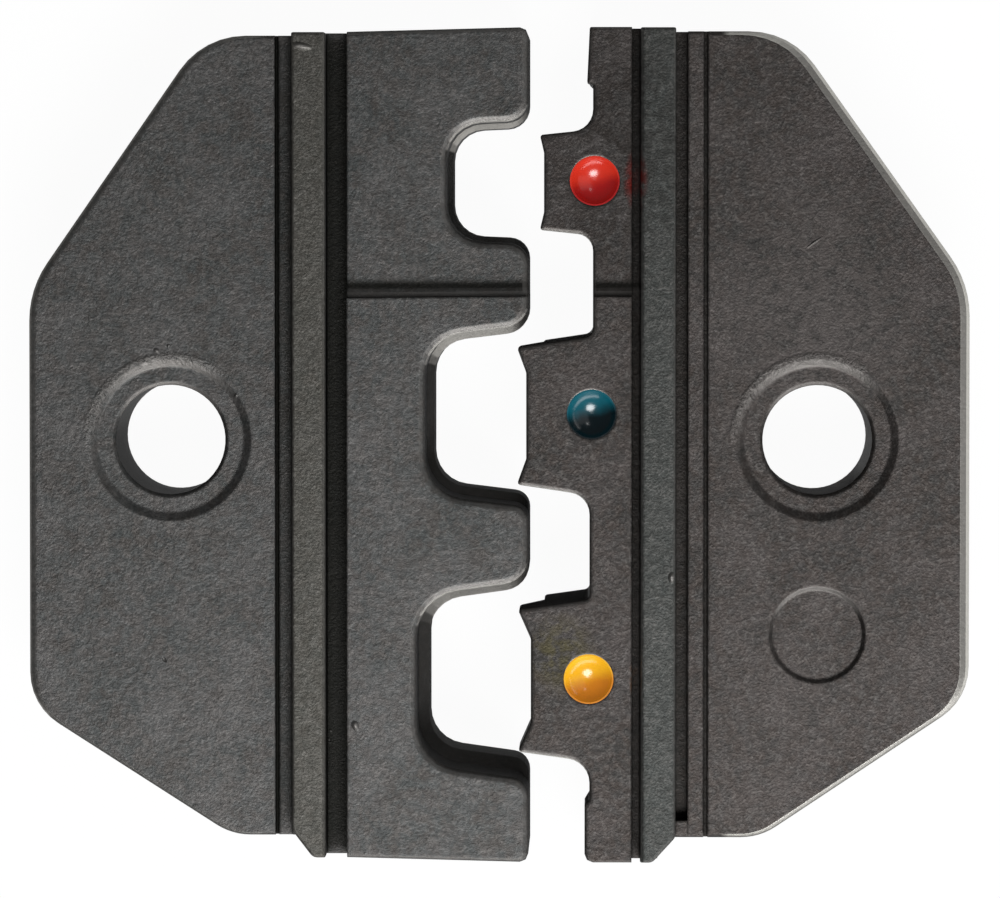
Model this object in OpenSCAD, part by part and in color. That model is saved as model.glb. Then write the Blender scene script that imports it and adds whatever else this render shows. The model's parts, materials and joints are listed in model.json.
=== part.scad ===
// Crimp die set for insulated terminals: a nest die, an anvil die and three enamel
// size dots. Both dies lie flat on their ribs, with the crimp faces towards each other.
// Millimetres. X runs across both dies, Y along them, Z through their thickness.
// The origin is under the middle of the set, on the surface that the ribs rest on.

/* [Both dies] */
// Length of a die along Y
die_h = 39.6; // [36:0.1:50]
// Thickness over the rib
rib_t = 10.0; // [9.6:0.1:14]
// Thickness of the body at the blue and yellow stations
body_t = 9.0; // [8.6:0.1:9.4]
// Thickness of the body at the red station
red_zone_t = 8.2; // [7:0.1:8.5]
// Thickness of the mounting wing
wing_t = 8.0; // [7:0.1:8.8]
// Y of the step between the red station and the other two
step_y = 7.38; // [7:0.02:8]
// Run of that step along Y, from its filleted foot to its crisp edge
step_run = 0.66; // [0.1:0.02:1]
// Distance between the two crimp faces at rest, without the anvils
rest_gap = 2.9; // [1.6:0.1:6]
// Rounding of the edges round the crimp faces
face_edge_r = 0.28; // [0.1:0.02:0.36]
// Depth of the channel beside the rib, from the body's face
channel_depth = 1.7; // [0.5:0.1:2.4]

/* [Wings] */
// Radius of the wing's top corner, seen from above
wing_top_r = 3.8; // [1:0.1:5]
// Radius at the upper end of the wing's outer side
wing_upper_side_r = 4.8; // [1:0.1:6]
// Radius at the lower end of the wing's outer side
wing_lower_side_r = 2.9; // [1:0.1:4]
// Radius of the wing's bottom corner
wing_bottom_r = 3.0; // [1:0.1:5]
// Depth of the thin seam between ledge and wing, from the wing's face
seam_depth = 0.55; // [0.4:0.05:1]

/* [Screw holes] */
// Diameter of the screw hole, clearance for M5
hole_d = 5.2; // [3.4:0.1:6]
// Y of the hole's centre
hole_y = 0.25; // [-2:0.05:2]
// Diameter of the shallow seat round the hole
seat_d = 7.7; // [6.8:0.1:9]
// Depth of that seat
seat_depth = 0.2; // [0.1:0.05:0.5]
// Width of the seat's sloping wall
seat_slope = 0.38; // [0.1:0.02:0.6]
// Chamfer at each mouth of the hole
hole_chamfer = 0.15; // [0.05:0.05:0.3]

/* [Nest die] */
// Width from the crimp face to the outer edge
nest_w = 23.7; // [22:0.1:30]
// Width of the body, from the crimp face to the channel
nest_body_w = 8.6; // [7:0.1:9]
// Width of the channel between body and rib
nest_channel_w = 1.0; // [0.4:0.05:1.4]
// Width of the rib
nest_rib_w = 1.6; // [1.5:0.05:2.2]
// Width of the ledge beside the rib
nest_ledge_w = 0.66; // [0.4:0.02:1]
// Drop of the ledge below the wing's face
nest_ledge_drop = 0.3; // [0.05:0.05:0.35]
// Width of the seam between ledge and wing
nest_seam_w = 0.16; // [0.1:0.02:0.3]
// Screw hole centre, from the crimp face
nest_hole_u = 17.0; // [16.6:0.1:18.2]
// Top corner cut, across
nest_top_cut_x = 8.3; // [5:0.1:10.4]
// Top corner cut, along
nest_top_cut_y = 12.0; // [6:0.1:14]
// Bottom corner cut, across
nest_bottom_cut_x = 9.6; // [5:0.1:10]
// Bottom corner cut, along
nest_bottom_cut_y = 6.15; // [5:0.05:10]
// Drop of the wing's end below the top end of the body
nest_top_drop = 0.4; // [0.2:0.05:1.5]
// Rise of the wing's end above the bottom end of the body
nest_bottom_rise = 1.25; // [0.6:0.05:2]
// Bevel round the wing's outer edge
nest_wing_bevel = 0.3; // [0.15:0.05:0.6]
// How much shorter the body is at the channel than at the crimp face, each end
nest_end_taper = 0.22; // [0:0.02:0.24]
// Set-in of the rib's ends behind the body's
nest_rib_inset = 0.26; // [0.26:0.02:0.5]
// Cut at the rib's bottom outer corner, across
nest_foot_x = 1.0; // [0.3:0.05:1]
// Cut at the rib's bottom outer corner, along
nest_foot_y = 1.3; // [0.3:0.05:2]

/* [Anvil die] */
// Width from the pocket face to the outer edge
anvil_w = 18.0; // [16.5:0.1:24]
// Width of the body, from the pocket face to the channel
anvil_body_w = 2.0; // [1.8:0.05:2.6]
// Width of the channel between body and rib
anvil_channel_w = 0.4; // [0.3:0.05:0.8]
// Width of the rib
anvil_rib_w = 1.68; // [1.6:0.02:2.2]
// Width of the relief groove between rib and ledge
anvil_relief_w = 0.58; // [0.3:0.02:0.9]
// Depth of that relief groove, from the wing's face
anvil_relief_depth = 1.2; // [0.6:0.1:2]
// Distance between the relief groove's end and the wing's bottom end
anvil_relief_stop = 0.8; // [0.3:0.1:3]
// Width of the ledge beside the relief groove
anvil_ledge_w = 0.75; // [0.4:0.05:1]
// Drop of the ledge below the wing's face
anvil_ledge_drop = 0.1; // [0.05:0.05:0.35]
// Width of the seam between ledge and wing
anvil_seam_w = 0.2; // [0.1:0.02:0.3]
// Screw hole centre, from the pocket face
anvil_hole_u = 10.8; // [10:0.1:11.8]
// Top corner cut, across
anvil_top_cut_x = 8.5; // [5:0.1:10]
// Top corner cut, along
anvil_top_cut_y = 11.95; // [6:0.05:14]
// Bottom corner cut, across
anvil_bottom_cut_x = 9.9; // [5:0.1:10]
// Bottom corner cut, along
anvil_bottom_cut_y = 6.6; // [5:0.1:10]
// Drop of the wing's end below the top end of the body
anvil_top_drop = 0.2; // [0.15:0.05:1.5]
// Rise of the wing's end above the bottom end of the body
anvil_bottom_rise = 1.15; // [0.6:0.05:2]
// Bevel round the wing's outer edge
anvil_wing_bevel = 0.45; // [0.15:0.05:0.8]
// Set-in of the rib's ends behind the body's
anvil_rib_inset = 0.04; // [0.04:0.02:0.5]
// Cut at the rib's bottom outer corner, across
anvil_foot_x = 1.1; // [0.3:0.05:1.1]
// Cut at the rib's bottom outer corner, along
anvil_foot_y = 1.2; // [0.3:0.05:2]
// Height of the stop pad at the bottom end, above the pocket face
bottom_pad = 0.23; // [0.1:0.01:0.5]
// Length of that pad along Y
bottom_pad_h = 2.75; // [1.5:0.05:3]
// Height of the pad at the top end, above the pocket face
top_pad = 0.12; // [0.05:0.01:0.4]
// Length of that pad along Y
top_pad_h = 2.6; // [1.5:0.05:2.8]
// Extra depth of the pocket face at the red station
red_pocket_drop = 0.16; // [0.05:0.01:0.4]
// Diameter of the plain round inspection mark
mark_d = 4.6; // [2:0.1:5]
// Depth of that mark
mark_depth = 0.2; // [0.05:0.05:0.4]
// Width of the mark's sloping wall
mark_slope = 0.18; // [0.05:0.01:0.4]
// Y of the mark's centre
mark_y = -9.0; // [-10:0.1:-7]

/* [Red station, 0.5 to 1.5 mm2] */
// Y of the station
red_y = 12.45; // [12:0.05:13]
// Width of the nest at its floor
red_nest_w = 5.0; // [4.6:0.05:5.4]
// Depth of the nest
red_nest_d = 3.65; // [3:0.05:4.5]
// Slope of the nest's walls, degrees
red_nest_slope = 2.5; // [1:0.5:6]
// How much wider, each side, and deeper the front stage of the nest is
red_stage_step = 0.25; // [0.1:0.01:0.5]
// Radius of the nest's floor corners
red_floor_r = 1.5; // [0.6:0.05:1.8]
// Radius of the nest's upper lip
red_upper_lip_r = 1.1; // [0.6:0.05:1.2]
// Radius of the nest's lower lip
red_lower_lip_r = 1.0; // [0.6:0.05:1.2]
// Width of the anvil across its tip
red_anvil_w = 4.5; // [4:0.05:4.6]
// Reach of the anvil's horns beyond the pocket face
red_anvil_reach = 2.36; // [2:0.02:2.7]
// Height of the horns above the anvil's face
red_horn = 0.2; // [0.1:0.02:0.6]
// Width of a horn's bevel
red_horn_bevel = 0.85; // [0.4:0.05:1.5]
// Slope of the anvil's flanks, degrees
red_flank_slope = 6; // [3:0.5:9]
// Radius at the anvil's upper root
red_upper_root_r = 1.05; // [0.3:0.05:1.1]
// Radius at the anvil's lower root
red_lower_root_r = 0.8; // [0.3:0.05:1.1]

/* [Blue station, 1.5 to 2.5 mm2] */
// Y of the station
blue_y = 1.4; // [1.2:0.05:1.8]
// Width of the nest at its floor
blue_nest_w = 6.75; // [6.4:0.05:7.1]
// Depth of the nest
blue_nest_d = 4.58; // [4.2:0.02:5.2]
// Slope of the nest's walls, degrees
blue_nest_slope = 7; // [4:0.5:9]
// How much wider, each side, and deeper the front stage of the nest is
blue_stage_step = 0.33; // [0.1:0.01:0.55]
// Radius of the nest's floor corners
blue_floor_r = 1.7; // [0.6:0.05:1.8]
// Radius of the nest's upper lip
blue_upper_lip_r = 1.2; // [0.6:0.05:1.3]
// Radius of the nest's lower lip
blue_lower_lip_r = 0.8; // [0.6:0.05:1.2]
// Width of the anvil across its tip
blue_anvil_w = 6.5; // [6.1:0.05:6.55]
// Reach of the anvil's horns beyond the pocket face
blue_anvil_reach = 3.44; // [3.1:0.02:3.6]
// Height of the horns above the anvil's face
blue_horn = 0.44; // [0.2:0.02:0.8]
// Width of a horn's bevel
blue_horn_bevel = 1.2; // [0.6:0.05:1.8]
// Slope of the anvil's flanks, degrees
blue_flank_slope = 8.5; // [5:0.5:9]
// Radius at the anvil's upper root
blue_upper_root_r = 0.45; // [0.2:0.05:1.1]
// Radius at the anvil's lower root
blue_lower_root_r = 1.05; // [0.3:0.05:1.2]

/* [Yellow station, 4 to 6 mm2] */
// Y of the station
yellow_y = -11.15; // [-11.3:0.05:-10.9]
// Width of the nest at its floor
yellow_nest_w = 6.95; // [6.9:0.05:7.2]
// Depth of the nest
yellow_nest_d = 4.82; // [4.4:0.02:5.4]
// Slope of the nest's walls, degrees
yellow_nest_slope = 8; // [6:0.5:10]
// How much wider, each side, and deeper the front stage of the nest is
yellow_stage_step = 0.5; // [0.1:0.01:0.55]
// Radius of the nest's floor corners
yellow_floor_r = 1.75; // [0.6:0.05:1.8]
// Radius of the nest's upper lip
yellow_upper_lip_r = 1.3; // [0.6:0.05:1.4]
// Radius of the nest's lower lip
yellow_lower_lip_r = 0.9; // [0.6:0.05:1]
// Width of the anvil across its tip
yellow_anvil_w = 6.76; // [6.2:0.02:6.8]
// Reach of the anvil's horns beyond the pocket face
yellow_anvil_reach = 3.4; // [3:0.02:3.6]
// Height of the horns above the anvil's face
yellow_horn = 0.62; // [0.2:0.02:1]
// Width of a horn's bevel
yellow_horn_bevel = 1.4; // [0.6:0.05:1.8]
// Slope of the anvil's flanks, degrees
yellow_flank_slope = 8; // [5:0.5:8]
// Radius at the anvil's upper root
yellow_upper_root_r = 0.3; // [0.2:0.05:1.1]
// Radius at the anvil's lower root
yellow_lower_root_r = 1.15; // [0.3:0.05:1.2]

/* [Two crimp stages] */
// Length of the narrow insulation stage, from the back face
back_stage_t = 4.0; // [2.5:0.1:5]
// How far the anvils stand back in the insulation stage
back_setback = 1.15; // [0.4:0.05:1.4]
// Length of the ramp between the stages, along Z
stage_ramp = 0.7; // [0.3:0.1:1.2]
// Length of the ramp between the anvils' stages, along Z
anvil_ramp = 1.5; // [0.5:0.1:2]

/* [Enamel dots] */
// Diameter of a dot
dot_d = 2.36; // [1.6:0.02:2.4]
// Depth of the drilled seat that holds the enamel
dot_depth = 0.85; // [0.7:0.05:1.5]
// Depth of the hollow in the enamel's face
dot_hollow = 0.55; // [0.2:0.05:0.6]
// Width of the rim round that hollow
dot_rim = 0.07; // [0.04:0.01:0.2]
// Distance of the red dot's centre from the pocket face, into the body
red_dot_u = 0.24; // [-0.1:0.02:0.6]
// Distance of the blue dot's centre from the pocket face, into the body
blue_dot_u = 0.1; // [-0.2:0.02:0.6]
// Distance of the yellow dot's centre from the pocket face, into the body
yellow_dot_u = -0.04; // [-0.2:0.02:0.6]
// Height of a dot's centre above the middle of its station, along Y
dot_rise = 0.08; // [-0.3:0.02:0.3]

/* [Hidden] */
$fn = 96;
mid_z = rib_t / 2;
top_y = die_h / 2;
bottom_y = -die_h / 2;
body_z = mid_z - body_t / 2;
set_w = nest_w + rest_gap + anvil_w;
nest_x = nest_w - set_w / 2;
anvil_x = set_w / 2 - anvil_w;
nest_rib_u = nest_body_w + nest_channel_w;
anvil_rib_u = anvil_body_w + anvil_channel_w;
stage_z = body_z + back_stage_t;
rib_inner_r = 0.2;
rib_outer_r = 0.1;
rib_foot_r = 0.4;
small_r = 0.08;
end_corner_r = 0.4;
horn_tip_r = 0.12;
horn_root_r = 0.3;
anvil_edge_r = face_edge_r * 0.55;
cutter_margin = 1;
// Share of the face edges' rounding that the two ends of a body take
end_weight = 0.6;
web_overlap = 0.6;
// Share of a stop pad's height that is left in the back stage
back_pad_share = 0.05;
steel = [0.20, 0.20, 0.20];
// Segments in a large and in a small rounded corner
arc_n = 6;
tiny_n = 2;
foot_n = 3;
// Values of a station, read by the names below
RED = [red_y, red_nest_w, red_nest_d, red_nest_slope, red_floor_r, red_upper_lip_r,
    red_lower_lip_r, red_anvil_w, red_anvil_reach, red_horn, red_horn_bevel,
    red_flank_slope, red_upper_root_r, red_lower_root_r, red_stage_step];
BLUE = [blue_y, blue_nest_w, blue_nest_d, blue_nest_slope, blue_floor_r, blue_upper_lip_r,
    blue_lower_lip_r, blue_anvil_w, blue_anvil_reach, blue_horn, blue_horn_bevel,
    blue_flank_slope, blue_upper_root_r, blue_lower_root_r, blue_stage_step];
YELLOW = [yellow_y, yellow_nest_w, yellow_nest_d, yellow_nest_slope, yellow_floor_r,
    yellow_upper_lip_r, yellow_lower_lip_r, yellow_anvil_w, yellow_anvil_reach,
    yellow_horn, yellow_horn_bevel, yellow_flank_slope, yellow_upper_root_r,
    yellow_lower_root_r, yellow_stage_step];
function y_of(s) = s[0];
function nest_w_of(s) = s[1];
function nest_d_of(s) = s[2];
function nest_slope_of(s) = s[3];
function floor_r_of(s) = s[4];
function upper_lip_of(s) = s[5];
function lower_lip_of(s) = s[6];
function anvil_w_of(s) = s[7];
function reach_of(s) = s[8];
function horn_of(s) = s[9];
function bevel_of(s) = s[10];
function flank_of(s) = s[11];
function upper_root_of(s) = s[12];
function lower_root_of(s) = s[13];
function stage_step_of(s) = s[14];

// An outline is a list of corners [x, y, radius, segments, edge weight], anticlockwise.
// The edge weight is the share of an inset that the edge after the corner takes, and a
// corner of radius 0 stays one sharp point.
function unit(v) = v / norm(v);
function xy(c) = [c[0], c[1]];
function before(path, i) = path[(i + len(path) - 1) % len(path)];
function after(path, i) = path[(i + 1) % len(path)];
function turn_angle(a) = a > 180 ? a - 360 : a < -180 ? a + 360 : a;

// Arc of n segments that rounds the corner q between p and s
function corner_arc(p, q, s, r, n) =
    let (
        a = unit(p - q),
        b = unit(s - q),
        half = acos(a * b) / 2,
        centre = q + unit(a + b) * r / sin(half),
        start = q + a * r / tan(half) - centre,
        stop = q + b * r / tan(half) - centre,
        from = atan2(start[1], start[0]),
        turn = turn_angle(atan2(stop[1], stop[0]) - from)
    )
    [for (i = [0 : n]) centre + r * [cos(from + turn * i / n), sin(from + turn * i / n)]];

function rounded(path) = [
    for (i = [0 : len(path) - 1])
        each path[i][2] == 0 ? [xy(path[i])]
            : corner_arc(xy(before(path, i)), xy(path[i]), xy(after(path, i)),
                path[i][2], path[i][3])
];

function inward(p, q) = let (d = unit(q - p)) [-d[1], d[0]];

// The same outline moved inwards by d times each edge's weight
function inset(path, d) = [
    for (i = [0 : len(path) - 1])
        let (
            n1 = inward(xy(before(path, i)), xy(path[i])),
            n2 = inward(xy(path[i]), xy(after(path, i))),
            d1 = d * before(path, i)[4],
            d2 = d * path[i][4],
            turn = n1[0] * n2[1] - n1[1] * n2[0],
            straight = abs(turn) < 1e-6,
            dx = straight ? d1 * n1[0] : (d1 * n2[1] - d2 * n1[1]) / turn,
            dy = straight ? d1 * n1[1] : (d2 * n1[0] - d1 * n2[0]) / turn,
            r = path[i][2] - min(d1, d2) * sign(turn)
        )
        [path[i][0] + dx, path[i][1] + dy, path[i][2] == 0 ? 0 : max(r, small_r / 2),
            path[i][3], path[i][4]]
];

// Solid through a list of levels [z, outline] that rise in z, for convex outlines
module loft(levels) {
    rings = [for (level = levels) [for (p = rounded(level[1])) [p[0], p[1], level[0]]]];
    n = len(rings[0]);
    last = (len(rings) - 1) * n;
    bottom_face = [for (i = [0 : n - 1]) i];
    top_face = [for (i = [n - 1 : -1 : 0]) last + i];
    sides = [
        for (k = [0 : len(rings) - 2], i = [0 : n - 1])
            let (a = k * n + i, b = k * n + (i + 1) % n)
            each [[a, a + n, b + n], [a, b + n, b]]
    ];
    polyhedron(points = [for (ring = rings) each ring],
        faces = concat([bottom_face, top_face], sides));
}

// Share of the step's height at a given y, from 0 at its foot to 1 at its edge
function step_share(y) =
    let (t = min(1, max(0, (step_y - y) / step_run + 0.5)))
    1 - sqrt(1 - t * t);

// Solid through levels [z at the red station, z elsewhere, outline]. Each outline starts
// and ends on a flat far side, and its y never rises along the crimp face between them.
// The far side may be shorter, and its points keep their order.
module stepped_loft(levels) {
    rings = [
        for (level = levels) [
            for (p = rounded(level[2]))
                [p[0], p[1], level[0] + (level[1] - level[0]) * step_share(p[1])]
        ]
    ];
    n = len(rings[0]);
    m = len(rings);
    top = (m - 1) * n;
    far_u = rings[0][0][0];
    // Points of the far side's low and high edges, level with those of the crimp face
    low_far = m * n;
    high_far = low_far + n - 4;
    middle = high_far + n - 4;
    function far_y(ring, i) =
        let (share = (ring[i][1] - ring[n - 2][1]) / (ring[1][1] - ring[n - 2][1]))
        ring[n - 1][1] + (ring[0][1] - ring[n - 1][1]) * share;
    function far_edge(ring) = [for (i = [2 : n - 3]) [far_u, far_y(ring, i), ring[i][2]]];
    function far(first, base, i) = i <= 1 ? first : i >= n - 2 ? first + n - 1 : base + i - 2;
    function strip(first, base, i) =
        [first + i, first + i + 1, far(first, base, i + 1), far(first, base, i)];
    sides = [
        for (k = [0 : m - 2], i = [0 : n - 2])
            let (a = k * n + i, b = a + 1)
            each [[a, a + n, b + n], [a, b + n, b]]
    ];
    low_cap = [for (i = [1 : n - 3]) strip(0, low_far, i)];
    high_cap = [for (i = [1 : n - 3]) reversed(strip(top, high_far, i))];
    far_loop = concat(
        [for (k = [0 : m - 1]) k * n + n - 1],
        [for (i = [n - 3 : -1 : 2]) high_far + i - 2],
        [for (k = [m - 1 : -1 : 0]) k * n],
        [for (i = [2 : n - 3]) low_far + i - 2]
    );
    far_side = [
        for (j = [0 : len(far_loop) - 1])
            [middle, far_loop[j], far_loop[(j + 1) % len(far_loop)]]
    ];
    polyhedron(
        points = concat([for (ring = rings) each ring], far_edge(rings[0]),
            far_edge(rings[m - 1]), [[far_u, 0, mid_z]]),
        faces = concat(sides, low_cap, high_cap, far_side)
    );
}
function reversed(list) = [for (i = [len(list) - 1 : -1 : 0]) list[i]];

// Box between two corners
module block(low, high) {
    translate(low) cube(high - low);
}

// The same cutter at the front face and, turned over, at the back face
module both_faces() {
    children();
    translate([0, 0, mid_z]) mirror([0, 0, 1]) translate([0, 0, -mid_z]) children();
}

// Groove along Y from u0 to u1, of a given depth below a face at height z_face
module long_groove(u0, u1, y0, y1, z_face, depth) {
    block([u0, y0, z_face - depth], [u1, y1, rib_t + cutter_margin]);
}

// Corners of one nest, from its upper lip round the floor to its lower lip. Front is 0
// for the narrow stage at the back and 1 for the wider one at the front.
function nest_corners(s, front) =
    let (
        step = front * stage_step_of(s),
        d = nest_d_of(s) + step,
        h = nest_w_of(s) / 2 + step,
        m = h + d * tan(nest_slope_of(s)),
        r = floor_r_of(s) + step
    )
    [
        [0, y_of(s) + m, upper_lip_of(s), arc_n, 1],
        [d, y_of(s) + h, r, arc_n, 1],
        [d, y_of(s) - h, r, arc_n, 1],
        [0, y_of(s) - m, lower_lip_of(s), arc_n, 1]
    ];

// Points of a straight face across the step in the body
function step_points(u) = [
    for (t = [0, 0.35, 0.6, 0.8, 0.93, 1]) [u, step_y + step_run * (0.5 - t), 0, 0, 1]
];

// Outline of the nest die's body, at u = 0 on its crimp face
function nest_outline(front) = concat(
    [
        [nest_body_w, top_y - nest_end_taper, 0, 0, end_weight],
        [0, top_y, end_corner_r, tiny_n, 1]
    ],
    nest_corners(RED, front),
    step_points(0),
    nest_corners(BLUE, front),
    nest_corners(YELLOW, front),
    [
        [0, bottom_y, end_corner_r, tiny_n, end_weight],
        [nest_body_w, bottom_y + nest_end_taper, 0, 0, 0]
    ]
);

// Corners of one anvil, from its upper root round the tip to its lower root
function anvil_corners(s, upper_pocket, lower_pocket, setback) =
    let (
        tip = setback - reach_of(s),
        face = tip + horn_of(s),
        slope = tan(flank_of(s)),
        w = anvil_w_of(s) / 2 + setback * slope,
        flat = w - bevel_of(s),
        y = y_of(s)
    )
    [
        [upper_pocket, y + w + (upper_pocket - tip) * slope, upper_root_of(s), arc_n, 1],
        [tip, y + w, horn_tip_r, tiny_n, 1],
        [face, y + flat, horn_root_r, tiny_n, 1],
        [face, y - flat, horn_root_r, tiny_n, 1],
        [tip, y - w, horn_tip_r, tiny_n, 1],
        [lower_pocket, y - w - (lower_pocket - tip) * slope, lower_root_of(s), arc_n, 1]
    ];

// Outline of the anvil die's body, at u = 0 on its pocket face. Front is as above: the
// anvils stand back at the back stage, and the stop pads are on the front stage.
function anvil_outline(front) =
    let (
        setback = (1 - front) * back_setback,
        pads = max(front, back_pad_share),
        low_pad = bottom_pad * pads
    )
    concat(
        [
            [anvil_body_w, top_y, 0, 0, end_weight],
            [0, top_y, small_r, tiny_n, 1],
            [-top_pad * pads, top_y - top_pad_h, small_r, tiny_n, 1],
            [red_pocket_drop, top_y - top_pad_h - 2 * small_r, small_r, tiny_n, 1]
        ],
        anvil_corners(RED, red_pocket_drop, red_pocket_drop, setback),
        step_points(red_pocket_drop),
        anvil_corners(BLUE, red_pocket_drop, 0, setback),
        anvil_corners(YELLOW, 0, 0, setback),
        [
            [0, bottom_y + bottom_pad_h + bottom_pad, small_r, tiny_n, 1],
            [-low_pad, bottom_y + bottom_pad_h, small_r, tiny_n, 1],
            [-low_pad, bottom_y, end_corner_r, tiny_n, end_weight],
            [anvil_body_w, bottom_y, 0, 0, 0]
        ]
    );

// Levels of one rounded edge, out to the thickness of each zone
function edge_levels(path, r, side) = [
    for (a = [0, 45, 90])
        let (dz = r * (1 - sin(a)))
        [mid_z + side * (red_zone_t / 2 - dz), mid_z + side * (body_t / 2 - dz),
            inset(path, r * (1 - cos(a)))]
];

// Body with two crimp stages, a thinner zone at the red station and rounded edges
module body(back, front, ramp, r) {
    stepped_loft(concat(
        reversed(edge_levels(back, r, -1)),
        [[stage_z, stage_z, back], [stage_z + ramp, stage_z + ramp, front]],
        edge_levels(front, r, 1)
    ));
}

// Web under the channel, from the body to the middle of the rib
module web(body_w, rib_u, rib_w, end_inset) {
    half = body_t / 2 - channel_depth;
    block([body_w - web_overlap, bottom_y + end_inset, mid_z - half],
        [rib_u + rib_w / 2, top_y - end_inset, mid_z + half]);
}

// Rib with a soft inner edge, a crisp outer edge and a rounded foot
module rib(u, w, foot_x, foot_y, end_inset) {
    share = rib_outer_r / rib_inner_r;
    low_y = bottom_y + end_inset;
    high_y = top_y - end_inset;
    path = [
        [u, high_y, small_r, tiny_n, 1],
        [u, low_y, small_r, tiny_n, share],
        [u + w - foot_x, low_y, rib_foot_r, foot_n, share],
        [u + w, low_y + foot_y, rib_foot_r, foot_n, share],
        [u + w, high_y, small_r, tiny_n, share]
    ];
    edge = [
        for (a = [0, 30, 60, 90])
            [rib_inner_r * (1 - sin(a)), inset(path, rib_inner_r * (1 - cos(a)))]
    ];
    loft(concat(
        [for (level = reversed(edge)) level],
        [for (level = edge) [rib_t - level[0], level[1]]]
    ));
}

// Mounting wing from inner_u to outer_u and between two heights, with two corner cuts
// and a bevelled outer edge
module wing(inner_u, outer_u, low_y, high_y, top_cut, bottom_cut, bevel) {
    path = [
        [inner_u, high_y, small_r, tiny_n, 0],
        [inner_u, low_y, small_r, tiny_n, 0.4],
        [outer_u - bottom_cut[0], low_y, wing_bottom_r, arc_n, 0.5],
        [outer_u, low_y + bottom_cut[1], wing_lower_side_r, arc_n, 1],
        [outer_u, high_y - top_cut[1], wing_upper_side_r, arc_n, 1],
        [outer_u - top_cut[0], high_y, wing_top_r, arc_n, 0.4]
    ];
    low = mid_z - wing_t / 2;
    high = mid_z + wing_t / 2;
    rise = bevel * 0.6;
    loft([
        [low, inset(path, bevel)],
        [low + rise * 0.4, inset(path, bevel * 0.35)],
        [low + rise, path],
        [high - rise, path],
        [high - rise * 0.4, inset(path, bevel * 0.35)],
        [high, inset(path, bevel)]
    ]);
}

// Cutter for a screw hole with its shallow seats and chamfers
module screw_hole() {
    face_z = mid_z + wing_t / 2;
    translate([0, 0, -cutter_margin]) cylinder(d = hole_d, h = rib_t + 2 * cutter_margin);
    both_faces() {
        translate([0, 0, face_z - seat_depth])
            cylinder(r1 = seat_d / 2 - seat_slope, r2 = seat_d / 2 + seat_slope, h = 2 * seat_depth);
        translate([0, 0, face_z - seat_depth - hole_chamfer])
            cylinder(d1 = hole_d, d2 = hole_d + 4 * hole_chamfer, h = 2 * hole_chamfer);
    }
}

// Ledge and seam between rib and wing, cut into both faces of the wing
module ledge_cutters(u, ledge_w, ledge_drop, seam_w) {
    face_z = mid_z + wing_t / 2;
    y0 = bottom_y - cutter_margin;
    y1 = top_y + cutter_margin;
    both_faces() {
        long_groove(u, u + ledge_w, y0, y1, face_z, ledge_drop);
        long_groove(u + ledge_w, u + ledge_w + seam_w, y0, y1, face_z, seam_depth);
    }
}

// Seat of an enamel dot, sunk from the face of its station
module dot_seat(s, u, t, extra) {
    translate([u, y_of(s) + dot_rise, mid_z + t / 2 - dot_depth])
        cylinder(d = dot_d, h = dot_depth + extra);
}

// Enamel fill with a hollow face and a narrow rim
module dot(s, u, t) {
    hollow_r = dot_d / 2 - dot_rim;
    ball_r = (hollow_r * hollow_r + dot_hollow * dot_hollow) / (2 * dot_hollow);
    translate([anvil_x, 0, 0]) difference() {
        dot_seat(s, u, t, 0);
        translate([u, y_of(s) + dot_rise, mid_z + t / 2 + ball_r - dot_hollow]) sphere(r = ball_r);
    }
}

module nest_die() {
    rib_u = nest_rib_u;
    rib_end = rib_u + nest_rib_w;
    color(steel) translate([nest_x, 0, 0]) mirror([1, 0, 0]) union() {
        body(nest_outline(0), nest_outline(1), stage_ramp, face_edge_r);
        web(nest_body_w, rib_u, nest_rib_w, nest_rib_inset);
        difference() {
            wing(rib_u + nest_rib_w / 2, nest_w, bottom_y + nest_bottom_rise,
                top_y - nest_top_drop, [nest_top_cut_x, nest_top_cut_y],
                [nest_bottom_cut_x, nest_bottom_cut_y], nest_wing_bevel);
            ledge_cutters(rib_end, nest_ledge_w, nest_ledge_drop, nest_seam_w);
            translate([nest_hole_u, hole_y, 0]) screw_hole();
        }
        rib(rib_u, nest_rib_w, nest_foot_x, nest_foot_y, nest_rib_inset);
    }
}

module anvil_die() {
    rib_u = anvil_rib_u;
    rib_end = rib_u + anvil_rib_w;
    relief_end = rib_end + anvil_relief_w;
    wing_low_y = bottom_y + anvil_bottom_rise;
    color(steel) translate([anvil_x, 0, 0]) union() {
        difference() {
            body(anvil_outline(0), anvil_outline(1), anvil_ramp, anvil_edge_r);
            dot_seat(RED, red_dot_u, red_zone_t, cutter_margin);
            dot_seat(BLUE, blue_dot_u, body_t, cutter_margin);
            dot_seat(YELLOW, yellow_dot_u, body_t, cutter_margin);
        }
        web(anvil_body_w, rib_u, anvil_rib_w, anvil_rib_inset);
        difference() {
            wing(rib_u + anvil_rib_w / 2, anvil_w, wing_low_y, top_y - anvil_top_drop,
                [anvil_top_cut_x, anvil_top_cut_y], [anvil_bottom_cut_x, anvil_bottom_cut_y],
                anvil_wing_bevel);
            both_faces()
                long_groove(rib_end, relief_end, wing_low_y + anvil_relief_stop,
                    top_y + cutter_margin, mid_z + wing_t / 2, anvil_relief_depth);
            ledge_cutters(relief_end, anvil_ledge_w, anvil_ledge_drop, anvil_seam_w);
            translate([anvil_hole_u, hole_y, 0]) screw_hole();
            translate([anvil_hole_u, mark_y, mid_z + wing_t / 2 - mark_depth])
                cylinder(r1 = mark_d / 2 - mark_slope, r2 = mark_d / 2 + mark_slope,
                    h = 2 * mark_depth);
        }
        rib(rib_u, anvil_rib_w, anvil_foot_x, anvil_foot_y, anvil_rib_inset);
    }
}

module red_dot() {
    color([0.78, 0.12, 0.07]) dot(RED, red_dot_u, red_zone_t);
}

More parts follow.
